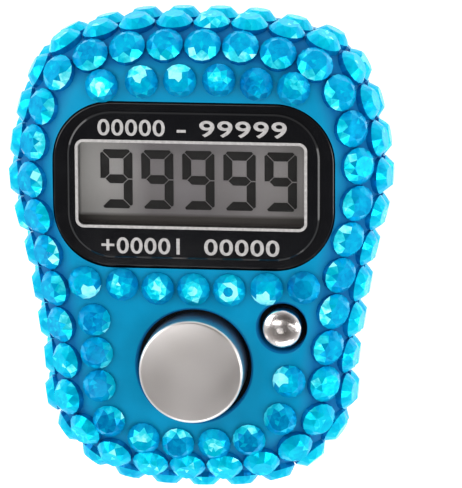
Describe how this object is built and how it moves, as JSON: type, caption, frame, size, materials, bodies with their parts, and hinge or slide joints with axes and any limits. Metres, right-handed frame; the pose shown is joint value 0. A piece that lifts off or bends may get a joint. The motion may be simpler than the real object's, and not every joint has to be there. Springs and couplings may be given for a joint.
{
  "type": "digital tally counter",
  "caption": "Finger-worn digital tally counter with a rhinestone-covered case, segment display, large count button, small reset button, twist battery door and silicone strap.",
  "frame": {"origin": "middle of the flat underside of the finger strap, on which the counter stands", "axes": "+Z out of the display, +Y to the display's top edge, +X to the display's right"},
  "size_m": [0.034, 0.0428, 0.0354],
  "materials": {
    "case": "glossy moulded cyan plastic, with the rim stones moulded on it",
    "rhinestone": "faceted cyan resin stone with a foil back",
    "window": "clear window, printed black behind its border",
    "lcd_glass": "thin display glass",
    "polariser": "grey polarising film",
    "white_plastic": "moulded white plastic",
    "grey_rubber": "striped conductive rubber",
    "board": "green lacquered board",
    "black_epoxy": "black epoxy",
    "chip_ceramic": "sintered tan ceramic",
    "satin_chrome": "satin chrome plating",
    "bright_chrome": "bright chrome plating",
    "silicone": "translucent silicone",
    "carbon_rubber": "carbon-filled rubber",
    "cell_steel": "plated steel can",
    "spring_steel": "plated spring strip",
    "screw_steel": "plated steel",
    "strap_silicone": "cyan silicone with a fine matt skin"
  },
  "bodies": {
    "root": {"front_shell": "case", "rear_shell": "case", "display_lens": "window", "lcd_front_glass": "lcd_glass", "lcd_rear_glass": "lcd_glass", "lcd_front_polariser": "polariser", "lcd_rear_polariser": "polariser", "lcd_frame": "white_plastic", "zebra_strip": "grey_rubber", "circuit_board": "board", "chip_blob": "black_epoxy", "resistor": "black_epoxy", "capacitor": "chip_ceramic", "count_dome": "silicone", "reset_dome": "silicone", "coin_cell": "cell_steel", "battery_contact_plus": "spring_steel", "battery_contact_minus": "spring_steel", "strap_long": "strap_silicone", "strap_short": "strap_silicone", "strap_stud": "satin_chrome", "strap_pin_left": "screw_steel", "strap_pin_right": "screw_steel", "case_screw_1": "screw_steel", "case_screw_2": "screw_steel", "case_screw_3": "screw_steel", "case_screw_4": "screw_steel", "board_screw_1": "screw_steel", "board_screw_2": "screw_steel", "face_stone_01": "rhinestone", "face_stone_02": "rhinestone", "face_stone_03": "rhinestone", "face_stone_04": "rhinestone", "face_stone_05": "rhinestone", "face_stone_06": "rhinestone", "face_stone_07": "rhinestone", "face_stone_08": "rhinestone", "face_stone_09": "rhinestone", "face_stone_10": "rhinestone", "face_stone_11": "rhinestone", "face_stone_12": "rhinestone", "face_stone_13": "rhinestone", "face_stone_14": "rhinestone", "face_stone_15": "rhinestone", "face_stone_16": "rhinestone", "face_stone_17": "rhinestone", "face_stone_18": "rhinestone", "face_stone_19": "rhinestone", "face_stone_20": "rhinestone", "face_stone_21": "rhinestone", "face_stone_22": "rhinestone", "face_stone_23": "rhinestone"},
    "count_button": {"count_cap": "satin_chrome", "count_plunger": "white_plastic", "count_pill": "carbon_rubber"},
    "reset_button_body": {"reset_button": "bright_chrome", "reset_pill": "carbon_rubber"},
    "door": {"battery_door": "case"}
  },
  "joints": [
    {"name": "count_press", "type": "slide", "parent": "root", "child": "count_button", "axis": [0, 0, -1], "range_m": [0, 0.0008], "stiffness_N_per_m": 1500, "deforming": ["count_dome"]},
    {"name": "reset_press", "type": "slide", "parent": "root", "child": "reset_button_body", "axis": [0, 0, -1], "range_m": [0, 0.0006], "stiffness_N_per_m": 1500, "deforming": ["reset_dome"]},
    {"name": "door_twist", "type": "hinge", "parent": "root", "child": "door", "pos_m": [0, -0.0086, 0.021], "axis": [0, 0, 1], "range_deg": [0, 45]}
  ]
}
